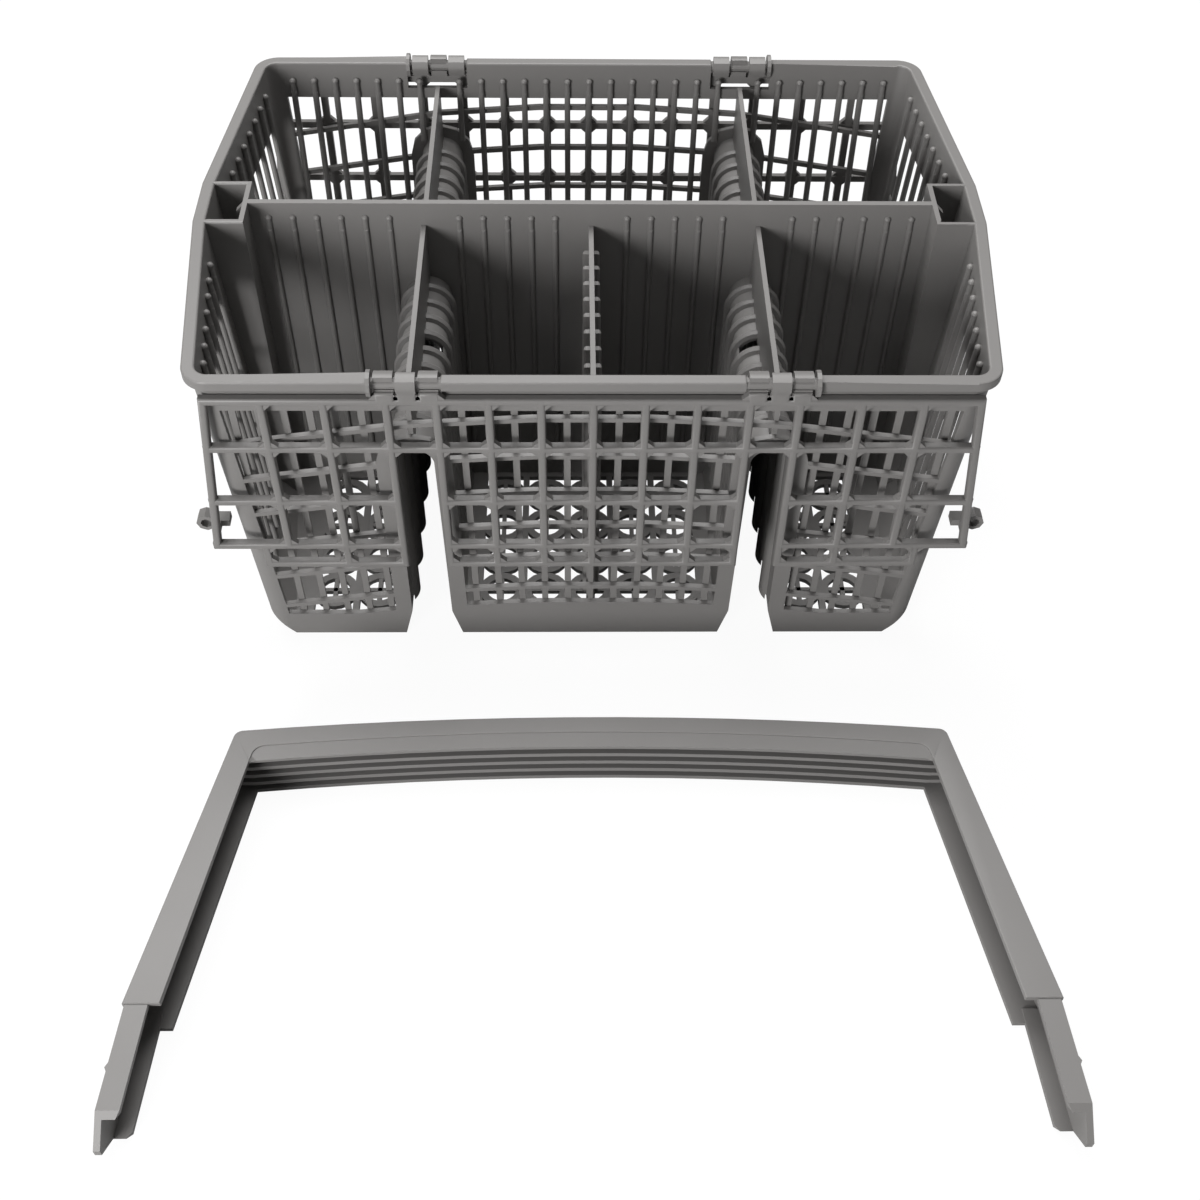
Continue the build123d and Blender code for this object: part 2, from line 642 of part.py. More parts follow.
handle_plane = Plane.XY.move(Location((0, -half_width - handle_gap, 0)))
with BuildPart() as handle:
    with BuildSketch(handle_plane):
        add(handle_frame(handle_web, handle_web, handle_web))
    extrude(amount=handle_depth)
    with BuildSketch(handle_plane, handle_plane.offset(handle_depth - handle_flange)):
        add(handle_frame(handle_grip, leg_top, leg_foot))
    extrude(amount=handle_flange)
    fin_step = (handle_depth - handle_flange) / (fin_count + 1)
    with BuildSketch(*[handle_plane.offset(n * fin_step) for n in range(1, fin_count + 1)]):
        add(handle_frame(handle_grip, leg_top, leg_top))
        with Locations((0, -handle_rise - handle_grip)):
            Rectangle(rim_length, handle_leg, align=(Align.CENTER, Align.MAX), mode=Mode.SUBTRACT)
    extrude(amount=handle_flange)

    # Step along the inner side of the grip
    with BuildSketch(handle_plane.offset(handle_depth)) as step:
        add(handle_frame(handle_grip, leg_top, leg_foot))
        add(handle_frame(grip_band, leg_top, leg_foot), mode=Mode.SUBTRACT)
        fillet(step.vertices().group_by(Axis.Y)[-1], grip_round)
    extrude(amount=-grip_step, mode=Mode.SUBTRACT)

    # Tongues: open channels with a snap bump
    tongue_out = handle_half + handle_splay - tongue_inset
    tongue_top = -handle_rise - handle_leg
    tongue_slope = tongue_splay / tongue_length
    tip_top = tongue_length - tip_length
    with BuildSketch(handle_plane.offset(tongue_inset)):
        for side in (-1, 1):
            Polygon(
                (side * (tongue_out - tongue_lap * tongue_slope), tongue_top + tongue_lap),
                (side * (tongue_out + tongue_splay), tongue_top - tongue_length),
                (side * (tongue_out + tongue_splay - handle_web), tongue_top - tongue_length),
                (side * (tongue_out + tip_top * tongue_slope - tongue_width), tongue_top - tip_top),
                (side * (tongue_out - tongue_width - tongue_lap * tongue_slope), tongue_top + tongue_lap),
                align=None,
            )
            bump_x = tongue_out + bump_from * tongue_slope
            Polygon(
                (side * (bump_x - past), tongue_top - bump_from),
                (side * (bump_x + bump_proud), tongue_top - bump_from - bump_length / 2),
                (side * (bump_x - past), tongue_top - bump_from - bump_length),
                align=None,
            )
    extrude(amount=handle_depth - 2 * tongue_inset)
    with BuildSketch(handle_plane.offset(tongue_inset + handle_flange)):
        for side in (-1, 1):
            web_x = tongue_out - handle_web
            Polygon(
                (side * (web_x - tongue_lap * tongue_slope), tongue_top + tongue_lap + past),
                (side * (web_x + tongue_splay), tongue_top - tongue_length),
                (side * (web_x - leg_foot), tongue_top - tongue_length),
                (side * (web_x - leg_foot), tongue_top + tongue_lap + past),
                align=None,
            )
    extrude(amount=handle_depth - 2 * (tongue_inset + handle_flange), mode=Mode.SUBTRACT)

    # Points of the tongues, seen from the side
    tip_y = handle_plane.origin.Y + tongue_top - tongue_length
    with BuildSketch(Plane.YZ.offset(-rim_length)):
        for up in (-1, 1):
            with Locations((tip_y, handle_depth / 2)):
                Polygon(
                    (tip_length, up * (handle_depth / 2 - tongue_inset)), (tip_length, up * handle_depth),
                    (-past, up * handle_depth), (-past, up * tip_blunt), (0, up * tip_blunt), align=None,
                )
    extrude(amount=2 * rim_length, mode=Mode.SUBTRACT)

pieces["front_lid"] = front_lid.part
pieces["back_lid"] = back_lid.part
pieces["handle"] = handle.part
os.makedirs("parts", exist_ok=True)
for name, piece in pieces.items():
    piece.label = name
    export_step(piece, f"parts/{name}.step")
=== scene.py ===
"""Cutlery basket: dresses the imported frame, lights it and places the camera."""

import math

import bmesh
import bpy
from bpy.props import FloatProperty, FloatVectorProperty, IntProperty, PointerProperty
from mathutils import Matrix, Vector


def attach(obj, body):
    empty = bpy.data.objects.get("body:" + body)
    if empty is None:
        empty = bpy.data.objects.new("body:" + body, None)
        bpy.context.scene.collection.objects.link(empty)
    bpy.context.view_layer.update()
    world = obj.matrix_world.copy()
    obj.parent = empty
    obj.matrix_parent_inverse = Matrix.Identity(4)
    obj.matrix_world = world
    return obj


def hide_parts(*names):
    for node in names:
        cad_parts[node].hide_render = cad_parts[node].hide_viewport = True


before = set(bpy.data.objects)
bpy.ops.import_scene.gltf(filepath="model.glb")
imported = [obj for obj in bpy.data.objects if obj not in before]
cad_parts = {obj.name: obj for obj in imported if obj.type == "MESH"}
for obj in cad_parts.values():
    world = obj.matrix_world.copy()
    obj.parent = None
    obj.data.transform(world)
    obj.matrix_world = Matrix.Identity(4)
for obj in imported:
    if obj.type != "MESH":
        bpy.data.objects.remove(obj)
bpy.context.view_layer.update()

bl_info = {
    "name": "Cutlery Basket Dressing",
    "version": (1, 0, 0),
    "blender": (4, 5, 0),
    "location": "View3D > Sidebar > Basket",
    "description": "Adds the moulded details, the plastic and the studio to a packed cutlery basket",
    "category": "Object",
}

MM = 0.001
WELD = 0.02 * MM  # points closer than this become one
ON_PLANE = 0.01 * MM  # points closer than this to a plane lie on it
FLAT = math.radians(0.5)  # faces that meet at less than this become one
CORNER = 1.0  # edges where faces meet at more than this, in radians, are corners
STRAIGHT = 0.99  # edges with more than this share of their length along an axis run along it
EDGE_STEPS = 2  # steps of a rounded edge
BEND_STEPS = 4  # steps of the handle's rounded corners
HOOP_SIDES = 8  # sides of a hoop's section
HOOP_STEPS = 12  # steps of a hoop over the crown of its tunnel
RIB_SIDES = 12  # sides of a rib's round top
RING_STEPS = 20  # steps of a floor ring
FLUTE_SIDES = 48  # sides of the bar that a flute is cut from
SENSOR = 36.0  # width of the camera's sensor, in millimetres
NEAR = 10 * MM  # the camera sees nothing closer than this
TURN_X = Matrix.Rotation(math.pi / 2, 4, "X")  # a quarter turn about X
TURN_Y = Matrix.Rotation(math.pi / 2, 4, "Y")  # a quarter turn about Y
FACING = {"X": TURN_Y, "Y": TURN_X, "Z": Matrix()}  # turns a level plane to face along an axis
SIDES = (-1, 1)
WALLS = ((0, -1), (0, 1), (-1, -1), (-1, 0), (-1, 1), (1, -1), (1, 0), (1, 1))
SHELL = (
    "front_left_wall", "front_middle_wall", "front_right_wall",
    "back_left_wall", "back_middle_wall", "back_right_wall",
    "front_rim", "back_rim", "left_end", "right_end",
    "left_floor", "middle_floor", "right_floor", "left_frame", "middle_frame", "right_frame",
    "left_roof", "right_roof",
)


def length(name, description, millimetres):
    """A size that can be changed in the sidebar, given here in millimetres."""
    return FloatProperty(
        name=name, description=description, default=millimetres * MM, unit="LENGTH", precision=5
    )


def angle(name, description, degrees):
    """An angle that can be changed in the sidebar, given here in degrees."""
    return FloatProperty(
        name=name, description=description, default=math.radians(degrees), unit="ROTATION"
    )


def count(name, description, number):
    """A number of repeats that can be changed in the sidebar."""
    return IntProperty(name=name, description=description, default=number, min=1)


def plain(name, description, value):
    """A plain number that can be changed in the sidebar."""
    return FloatProperty(name=name, description=description, default=value, min=0.0)


def share(name, description, part):
    """A share between none and all that can be changed in the sidebar."""
    return FloatProperty(
        name=name, description=description, default=part, min=0.0, max=1.0, subtype="FACTOR"
    )


def watts(name, description, value):
    """The power of a lamp, which can be changed in the sidebar."""
    return FloatProperty(name=name, description=description, default=value, unit="POWER")


def spot(name, description, metres):
    """A point that can be changed in the sidebar."""
    return FloatVectorProperty(
        name=name, description=description, default=metres, size=3, subtype="TRANSLATION", unit="LENGTH"
    )


def tint(name, description, red, green, blue):
    """A colour that can be changed in the sidebar."""
    return FloatVectorProperty(
        name=name, description=description, default=(red, green, blue, 1.0), size=4,
        min=0.0, max=1.0, subtype="COLOR",
    )


class BasketMould(bpy.types.PropertyGroup):
    """Sizes of the moulding that the details are set out from."""

    rim_height: length("Rim height", "Floor to the top of the rim", 119.5)
    rim_length: length("Rim length", "Length of the rim between its corners", 227.5)
    rim_width: length("Rim width", "Width of the rim", 167.0)
    rim_bow: length("Rim bow", "How far the ends of the rim stand out in the middle", 8.0)
    bow_flat: length("Bow flat", "Flat part of each bowed end", 19.3)
    wall_inset: length("Wall inset", "Edge of the rim to the inside of the walls", 3.8)
    zone_inset: length("Zone inset", "Edge of the rim to the seam between the walls and the bins", 6.05)
    roof_half: length("Roof zone", "Half the width of the zone of a tunnel's roof", 8.1)
    draft: angle("Draft", "Slope of the outer walls", 3.1)
    floor: length("Floor", "Thickness of the floor", 2.0)
    floor_pitch: length("Floor pitch", "Distance between the rings of the floor", 15.2)
    partition: length("Partition", "Thickness of the middle partition", 2.0)
    divider: length("Divider", "Thickness of the cross dividers", 1.5)
    tunnel_x: length("Tunnel offset", "Middle of the basket to the middle of a tunnel", 52.5)
    tunnel_top_half: length("Tunnel top", "Half the clear width where the arch springs", 6.0)
    tunnel_foot_half: length("Tunnel foot", "Half the clear width above the foot slopes", 6.6)
    tunnel_drop: length("Tunnel drop", "Rim to the crown of a tunnel", 29.0)
    tunnel_wall: length("Tunnel wall", "Thickness of the tunnels", 1.2)
    roof_seam: length("Roof seam", "Spring of a tunnel's arch to the seam under its roof", 1.5)
    foot_slope_up: length("Foot slope height", "Height of the slope at a tunnel's foot", 12.0)
    rib_pitch: length("Rib pitch", "Distance between the ribs", 7.5)
    rib_proud: length("Rib height", "How far the walls' ribs stand out", 1.6)
    rib_drop: length("Rib start", "Rim to the top of the walls' ribs", 10.0)
    middle_ribs: count("Middle ribs", "Ribs of the front or back wall of the middle bin", 13)
    end_ribs: count("End ribs", "Ribs of half an end wall", 7)
    outer_ribs: count("Outer ribs", "Ribs of the front or back wall of an outer bin", 7)
    outer_rib_start: length("Outer rib offset", "Tunnel to the first rib of an outer bin", 6.2)
    outer_rib_pitch: length("Outer rib pitch", "Distance between the ribs of an outer bin", 7.3)
    back_rib_proud: length("Back rib height", "How far the partition's ribs stand out", 1.1)
    back_rib_drop: length("Back rib start", "Rim to the top of the partition's ribs", 9.0)
    back_rib_inner: length("Back rib offset", "Middle of the partition to its first rib", 11.25)
    back_rib_outer: length("Outer back rib offset", "Tunnel to the partition's next rib", 10.5)
    inner_back_ribs: count("Back ribs", "The partition's ribs beside the centre divider", 5)
    outer_back_ribs: count("Outer back ribs", "The partition's ribs in an outer bin", 6)
    comb_proud: length("Comb height", "How far the centre divider's ribs stand out", 1.9)


class BasketDetail(bpy.types.PropertyGroup):
    """Sizes of the details that this file adds."""

    rim_round: length("Rim rounding", "Rounding of the top of the rim", 0.5)
    rib_round: length("Rib rounding", "Rounding of the ribs", 0.7)
    knob_radius: length("Knob radius", "Half the width of the ball on top of a rib", 1.15)
    rib_radius: length("Rib radius", "Half the width of a rib", 0.95)
    rib_rise: length("Rib rise", "How far the ribs' round tops stand above the grille's ribs", 3.6)
    rib_lap: length("Rib lap", "How far a round top runs down over its rib", 0.6)
    hoop_pitch: length("Hoop pitch", "Distance between the hoops around a tunnel", 7.6)
    hoop_first: length("First hoop", "Partition to the first hoop", 7.0)
    hoop_half: length("Hoop half width", "Half the width of a hoop", 1.5)
    hoop_proud: length("Hoop height", "How far a hoop stands out", 1.8)
    hoop_count: count("Hoops", "Hoops in each half of a tunnel", 9)
    ring_band: length("Ring band", "Width of a ring's band", 2.6)
    ring_bar: length("Ring bar", "Width of the bars that cross the rings", 1.5)
    ring_first: length("First ring", "Partition to the first row of rings", 11.9)
    ring_outer: length("Outer rings", "Middle of the basket to the first rings of an outer bin", 72.25)
    ring_rows: count("Ring rows", "Rows of rings in front of the partition, and behind it", 4)
    ring_columns: count("Ring columns", "Columns of rings in the middle bin", 5)
    outer_ring_columns: count("Outer ring columns", "Columns of rings in an outer bin", 2)
    ring_fill: share("Ring thickness", "Thickness of a ring as a share of the floor's", 0.9)
    bar_fill: share("Ring bar thickness", "Thickness of the crossing bars as a share of the floor's", 0.8)
    flute_pitch: length("Flute pitch", "Distance between the swellings inside a tunnel", 15.2)
    flute_radius: length("Flute radius", "Radius of a swelling inside a tunnel", 8.0)
    flute_proud: length("Flute height", "How far a swelling stands into the tunnel", 1.3)
    flute_root: length("Flute root", "How far a swelling reaches into the tunnel's wall", 0.3)
    flute_count: count("Flutes", "Swellings on each side of a tunnel", 9)
    cell_round: length("Cell corner", "Leg of the slope across the corners of the lids' cells", 1.7)
    gusset_depth: length("Corner depth", "Thickness of those corners", 1.7)
    gusset_reach: length("Corner reach", "Middle of a lid to its last cells with such corners", 104.0)
    gusset_edge: length("Corner edge", "Shortest edge through a lid that gets such a corner", 2.0)
    lid_face: length("Lid face", "Middle of the basket to the outside of a hanging lid", 84.15)
    bar_round: length("Bar rounding", "Rounding of the lids' bars", 0.75)
    handle_round: length("Handle rounding", "Rounding of the handle's upper edges", 0.3)
    handle_corner: length("Handle corner", "Rounding of the handle's outer corners", 2.0)
    bend_reach: length("Handle bend", "Middle of the basket to just past the handle's outer corners", 142.0)
    fin_start: length("Fin start", "Middle of the basket to the fins that are taken out of the legs", 113.7)
    fin_stop: length("Fin stop", "Middle of the basket to just past the end of those fins", 214.0)
    fin_low: length("Fin foot", "Floor to just under the lowest fin", 3.5)
    fin_high: length("Fin top", "Floor to just over the highest fin", 14.5)


class BasketFinish(bpy.types.PropertyGroup):
    """Colours and gloss."""

    plastic: tint("Plastic", "Colour of the moulded plastic", 0.192, 0.186, 0.181)
    flow_tint: tint("Flow tint", "Colour of the plastic where the mould flow shows", 0.174, 0.168, 0.163)
    flow_scale: plain("Flow scale", "Fineness of the flow marks", 22.0)
    refraction: plain("Refraction", "Refractive index of the plastic", 1.47)
    roughness: share("Roughness", "Roughness of the moulded plastic", 0.46)
    flow_gloss: share("Flow gloss", "How far the flow marks change the roughness", 0.12)
    grain: share("Grain", "Strength of the spark-eroded grain", 0.05)
    grain_scale: plain("Grain scale", "Fineness of the grain", 2600.0)
    grain_depth: length("Grain depth", "Depth of the grain at full strength", 0.4)
    floor: tint("Floor", "Colour of the floor", 0.45, 0.45, 0.45)
    floor_glow: plain("Floor glow", "Strength of the white that the camera sees on the floor", 1.1)
    floor_white: share("Floor white", "How far that white covers the floor and its shadows", 0.86)


class BasketStudio(bpy.types.PropertyGroup):
    """Camera and lamps."""

    eye: spot("Eye", "Place of the camera", (-0.006, -0.3965, 0.3994))
    pitch: angle("Pitch", "How far the camera looks down", 49.95)
    yaw: angle("Yaw", "How far the camera looks aside", -1.62)
    roll: angle("Roll", "How far the camera is tipped", 1.15)
    lens: FloatProperty(name="Lens", description="Focal length", default=45.36, unit="CAMERA")
    key_power: watts("Key", "Power of the overhead softbox", 16.5)
    key_size: length("Key size", "Width of the overhead softbox", 1000.0)
    key_place: spot("Key place", "Place of the overhead softbox", (-0.1, 0.3, 1.05))
    key_aim: spot("Key aim", "Point that the overhead softbox faces", (0.0, -0.08, 0.0))
    fill_power: watts("Fill", "Power of the front fill", 12.0)
    fill_size: length("Fill size", "Width of the front fill", 450.0)
    fill_place: spot("Fill place", "Place of the front fill", (-0.6, -0.95, 0.32))
    fill_aim: spot("Fill aim", "Point that the front fill faces", (0.0, -0.05, 0.08))
    sky: plain("Sky", "Strength of the even light all round", 0.12)
    floor_reach: length("Floor reach", "Half the width of the floor", 6000.0)


def feed(tree, slot, item):
    """Link a value to a socket, or set the socket to a plain number or colour."""
    if isinstance(item, Value):
        tree.links.new(item.socket, slot)
    else:
        slot.default_value = item


class Value:
    """A socket in a node tree, with arithmetic that adds Math nodes."""

    def __init__(self, tree, socket):
        self.tree = tree
        self.socket = socket

    def _math(self, operation, first, second):
        """Add one Math node and return its result."""
        node = self.tree.nodes.new("ShaderNodeMath")
        node.operation = operation
        for slot, item in zip(node.inputs, (first, second)):
            feed(self.tree, slot, item)
        return Value(self.tree, node.outputs[0])

    def __add__(self, other):
        return self._math("ADD", self, other)

    def __radd__(self, other):
        return self._math("ADD", other, self)

    def __sub__(self, other):
        return self._math("SUBTRACT", self, other)

    def __rsub__(self, other):
        return self._math("SUBTRACT", other, self)

    def __mul__(self, other):
        return self._math("MULTIPLY", self, other)

    def __rmul__(self, other):
        return self._math("MULTIPLY", other, self)


class Shader:
    """The node tree of a material or a world, with one way to add any node."""

    def __init__(self, owner):
        owner.use_nodes = True
        self.tree = owner.node_tree
        self.tree.nodes.clear()

    def node(self, kind, options=None, **sockets):
        """Add a node: its options first, then its sockets by name, or by number as in _0."""
        made = self.tree.nodes.new(kind)
        for key, item in (options or {}).items():
            setattr(made, key, item)
        for key, item in sockets.items():
            slot = int(key[1:]) if key[0] == "_" else key.replace("_", " ")
            feed(self.tree, made.inputs[slot], item)
        return made

    def out(self, made, name=0):
        """An output of a node, by name or number."""
        return Value(self.tree, made.outputs[name])


def settings():
    """The four groups of settings: mould, detail, finish and studio."""
    scene = bpy.context.scene
    return scene.basket_mould, scene.basket_detail, scene.basket_finish, scene.basket_studio


def plastic():
    """Satin grey plastic with a fine grain and faint flow marks."""
    made = bpy.data.materials.get("satin_grey_plastic")
    if made:
        return made
    finish = settings()[2]
    made = bpy.data.materials.new("satin_grey_plastic")
    shader = Shader(made)
    place = shader.out(shader.node("ShaderNodeTexCoord"), "Object")
    marks = shader.node(
        "ShaderNodeTexNoise", Vector=place, Scale=finish.flow_scale, Detail=3.0, Roughness=0.55
    )
    flow = shader.out(marks, "Fac")
    specks = shader.node("ShaderNodeTexNoise", Vector=place, Scale=finish.grain_scale, Detail=2.0)
    grain = shader.out(specks, "Fac")
    colour = shader.node(
        "ShaderNodeMix", {"data_type": "RGBA"}, _0=flow, _6=finish.plastic, _7=finish.flow_tint
    )
    bump = shader.node(
        "ShaderNodeBump", Strength=finish.grain, Distance=finish.grain_depth, Height=grain
    )
    surface = shader.node(
        "ShaderNodeBsdfPrincipled",
        Base_Color=shader.out(colour, 2),
        Roughness=finish.roughness + (flow - 0.5) * finish.flow_gloss,
        Normal=shader.out(bump),
        IOR=finish.refraction,
    )
    shader.node("ShaderNodeOutputMaterial", Surface=shader.out(surface))
    return made


def finished(bm, name, body="basket", crease=38):
    """Turn a bmesh into a plastic piece on a body, sharp where faces meet at more than crease degrees."""
    bmesh.ops.recalc_face_normals(bm, faces=bm.faces)
    for face in bm.faces:
        face.smooth = True
    for edge in bm.edges:
        edge.smooth = len(edge.link_faces) == 2 and edge.calc_face_angle() < math.radians(crease)
    mesh = bpy.data.meshes.new(name)
    bm.to_mesh(mesh)
    bm.free()
    stored = mesh.attributes.get("custom_normal")
    if stored:
        mesh.attributes.remove(stored)
    mesh.materials.append(plastic())
    piece = bpy.data.objects.new(name, mesh)
    bpy.context.scene.collection.objects.link(piece)
    piece.modifiers.new("flat_faces", "WEIGHTED_NORMAL").keep_sharp = True
    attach(piece, body)
    return piece


def copied(*nodes):
    """A merged copy of the meshes of some CAD nodes."""
    bm = bmesh.new()
    for node in nodes:
        bm.from_mesh(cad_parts[node].data)
    return bm


def joined(bm):
    """Close the mesh where its pieces meet, and join up its flat faces."""
    bmesh.ops.remove_doubles(bm, verts=bm.verts, dist=WELD)
    bmesh.ops.dissolve_limit(bm, angle_limit=FLAT, verts=bm.verts, edges=bm.edges)
    bmesh.ops.connect_verts_concave(bm, faces=[face for face in bm.faces if len(face.verts) > 4])


def closed(bm):
    """Close the open ends of a mesh."""
    bmesh.ops.holes_fill(bm, edges=[edge for edge in bm.edges if edge.is_boundary])


def bevelled(bm, edges, width, segments):
    """Round some edges."""
    bmesh.ops.bevel(
        bm, geom=edges, offset=width, segments=segments, profile=0.5, affect="EDGES", material=-1,
    )


def wall_frame(mould, end, half, inset):
    """Axes of one wall: X along it, Y up its slope and Z outwards, from its rim drawn in by inset."""
    if end:
        run = (mould.rim_width - mould.bow_flat) / 2
        bowed = mould.rim_length / 2 + mould.rim_bow
        point = Vector((end * bowed, half * mould.bow_flat / 2, mould.rim_height))
        outward = Vector((end * run, half * mould.rim_bow, 0)).normalized() if half else Vector((end, 0, 0))
    else:
        point = Vector((0, half * mould.rim_width / 2, mould.rim_height))
        outward = Vector((0, half, 0))
    normal = outward * math.cos(mould.draft) - Vector((0, 0, math.sin(mould.draft)))
    along = Vector((-outward.y, outward.x, 0))
    axes = Matrix((along, normal.cross(along), normal)).transposed().to_4x4()
    return Matrix.Translation(point - outward * inset) @ axes


def across(point, axis):
    """Inverse axes of the plane through a point that faces along X, Y or Z."""
    return (Matrix.Translation(point) @ FACING[axis]).inverted()


def is_corner(edge):
    """Whether two faces meet at this edge in a clear corner."""
    return len(edge.link_faces) == 2 and edge.calc_face_angle() > CORNER


def lies_on(planes, verts):
    """Whether all these vertices lie on one of the planes."""
    return any(all(abs((plane @ v.co).z) < ON_PLANE for v in verts) for plane in planes)


def corners_on(bm, planes):
    """The corner edges that lie on one of the planes."""
    return [edge for edge in bm.edges if is_corner(edge) and lies_on(planes, edge.verts)]


def spread(number, pitch):
    """The places of a row of things, about its middle."""
    return [(n - (number - 1) / 2) * pitch for n in range(number)]


def tunnel_levels(mould):
    """Height where a tunnel's arch springs, and its outer half width there and above the foot."""
    spring = mould.rim_height - mould.tunnel_drop - mould.tunnel_top_half
    return spring, mould.tunnel_top_half + mould.tunnel_wall, mould.tunnel_foot_half + mould.tunnel_wall


class BASKET_OT_shell(bpy.types.Operator):
    """Join the zones of the basket's moulding and round its edges and ribs"""

    bl_idname = "basket.shell"
    bl_label = "Basket shell"

    def execute(self, context):
        mould, detail, _, _ = settings()
        bm = copied(*SHELL)
        seams = self.seams(mould)
        cuts = [face for face in bm.faces if lies_on(seams, face.verts)]
        bmesh.ops.delete(bm, geom=cuts, context="FACES")
        joined(bm)
        self.round_ribs(bm, mould, detail)
        self.round_rim(bm, mould, detail)
        piece = finished(bm, "basket_shell", crease=18)
        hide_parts(*SHELL)
        return {"FINISHED"}

    def seams(self, mould):
        """Planes on which the zones of the moulding meet."""
        planes = [wall_frame(mould, *wall, mould.zone_inset).inverted() for wall in WALLS]
        spring, _, _ = tunnel_levels(mould)
        for z in (mould.floor + mould.foot_slope_up, spring + mould.roof_seam):
            planes.append(across((0, 0, z), "Z"))
        for side in SIDES:
            for step in (-mould.roof_half, 0, mould.roof_half):
                planes.append(across((side * mould.tunnel_x + step, 0, 0), "X"))
        return planes

    def round_ribs(self, bm, mould, detail):
        """Round the faces of the ribs on the walls, the partition and the centre divider."""
        inset = mould.wall_inset + mould.rib_proud
        planes = [wall_frame(mould, *wall, inset).inverted() for wall in WALLS]
        reach = mould.partition / 2 + mould.back_rib_proud
        comb = mould.divider / 2 + mould.comb_proud
        for side in SIDES:
            planes.append(across((0, side * reach, 0), "Y"))
            planes.append(across((side * comb, 0, 0), "X"))
        bevelled(bm, corners_on(bm, planes), detail.rib_round, EDGE_STEPS)

    def round_rim(self, bm, mould, detail):
        """Round the top edges of the rim."""
        top = [across((0, 0, mould.rim_height), "Z")]
        side = mould.rim_width / 2 - mould.zone_inset
        end = mould.rim_length / 2 - mould.wall_inset
        edges = [
            edge for edge in corners_on(bm, top)
            if abs(edge.verts[0].co.y) > side or abs(edge.verts[0].co.x) > end
        ]
        bevelled(bm, edges, detail.rim_round, EDGE_STEPS)


class BASKET_OT_hoops(bpy.types.Operator):
    """Set the hoops over the two tunnels"""

    bl_idname = "basket.hoops"
    bl_label = "Tunnel hoops"

    def execute(self, context):
        mould, detail, _, _ = settings()
        bm = bmesh.new()
        for side in SIDES:
            for half in SIDES:
                for n in range(detail.hoop_count):
                    y = half * (detail.hoop_first + n * detail.hoop_pitch)
                    self.hoop(bm, side * mould.tunnel_x, y, mould, detail)
        closed(bm)
        finished(bm, "tunnel_hoops")
        return {"FINISHED"}

    def hoop(self, bm, x, y, mould, detail):
        """One hoop: up one side of the tunnel, over its crown and down the other side."""
        spring, top, foot = tunnel_levels(mould)
        low = mould.foot_slope_up
        section = Matrix.Diagonal((detail.hoop_proud, detail.hoop_half, 1, 1))
        shape = Matrix.Translation((x + foot, y, low)) @ section
        ring = bmesh.ops.create_circle(bm, cap_ends=True, segments=HOOP_SIDES, radius=1.0, matrix=shape)
        face = next(f for f in bm.faces if f.verts[0] in ring["verts"])
        face = self.grown(bm, face, (top - foot, 0, spring - low))
        turn = bmesh.ops.spin(
            bm, geom=[face, *face.edges, *face.verts], cent=(x, y, spring), axis=(0, -1, 0),
            angle=math.pi, steps=HOOP_STEPS, use_merge=False, use_normal_flip=False,
        )
        last = next(g for g in turn["geom_last"] if isinstance(g, bmesh.types.BMFace))
        self.grown(bm, last, (top - foot, 0, low - spring))

    def grown(self, bm, face, step):
        """Extrude an end face by a step and return the new end."""
        made = bmesh.ops.extrude_face_region(bm, geom=[face])["geom"]
        end = next(g for g in made if isinstance(g, bmesh.types.BMFace))
        bmesh.ops.translate(bm, vec=step, verts=end.verts)
        if face.is_valid:
            bmesh.ops.delete(bm, geom=[face], context="FACES_ONLY")
        return end


class BASKET_OT_rib_tops(bpy.types.Operator):
    """Carry the ribs of the walls and of the partition up to their round tops"""

    bl_idname = "basket.rib_tops"
    bl_label = "Rib tops"

    def execute(self, context):
        mould, detail, _, _ = settings()
        bm = bmesh.new()
        start = mould.tunnel_x + mould.outer_rib_start
        outer = [start + n * mould.outer_rib_pitch for n in range(mould.outer_ribs)]
        along = spread(mould.middle_ribs, mould.rib_pitch) + [side * x for x in outer for side in SIDES]
        for half in SIDES:
            self.row(bm, wall_frame(mould, 0, half, mould.wall_inset), along, mould, detail)
        run = math.hypot((mould.rim_width - mould.bow_flat) / 2, mould.rim_bow)
        for end in SIDES:
            for half in SIDES:
                middle = end * half * run / 2
                along = [middle + x for x in spread(mould.end_ribs, mould.rib_pitch)]
                self.row(bm, wall_frame(mould, end, half, mould.wall_inset), along, mould, detail)
        start = mould.tunnel_x + mould.back_rib_outer
        inner = [mould.back_rib_inner + n * mould.rib_pitch for n in range(mould.inner_back_ribs)]
        inner += [start + n * mould.rib_pitch for n in range(mould.outer_back_ribs)]
        for half in SIDES:
            for x in inner + [-x for x in inner]:
                place = Matrix.Translation((x, half * mould.partition / 2, mould.rim_height)) @ TURN_X
                self.top(bm, place, mould.back_rib_drop - detail.rib_rise, mould.back_rib_drop, detail)
        finished(bm, "rib_tops")
        return {"FINISHED"}

    def row(self, bm, axes, along, mould, detail):
        """The tops of all the ribs of one wall."""
        for x in along:
            place = axes @ Matrix.Translation((x, 0, detail.rib_radius - mould.rib_proud))
            self.top(bm, place, mould.rib_drop - detail.rib_rise, mould.rib_drop, detail)

    def top(self, bm, place, start, stop, detail):
        """A round bar from one depth to another below the rim, with a ball on its upper end."""
        middle = place @ Matrix.Translation((0, -(start + stop + detail.rib_lap) / 2, 0)) @ TURN_X
        bmesh.ops.create_cone(
            bm, cap_ends=True, segments=RIB_SIDES, radius1=detail.rib_radius, radius2=detail.rib_radius,
            depth=stop - start + detail.rib_lap, matrix=middle,
        )
        ball = place @ Matrix.Translation((0, -start, 0))
        bmesh.ops.create_icosphere(bm, subdivisions=2, radius=detail.knob_radius, matrix=ball)


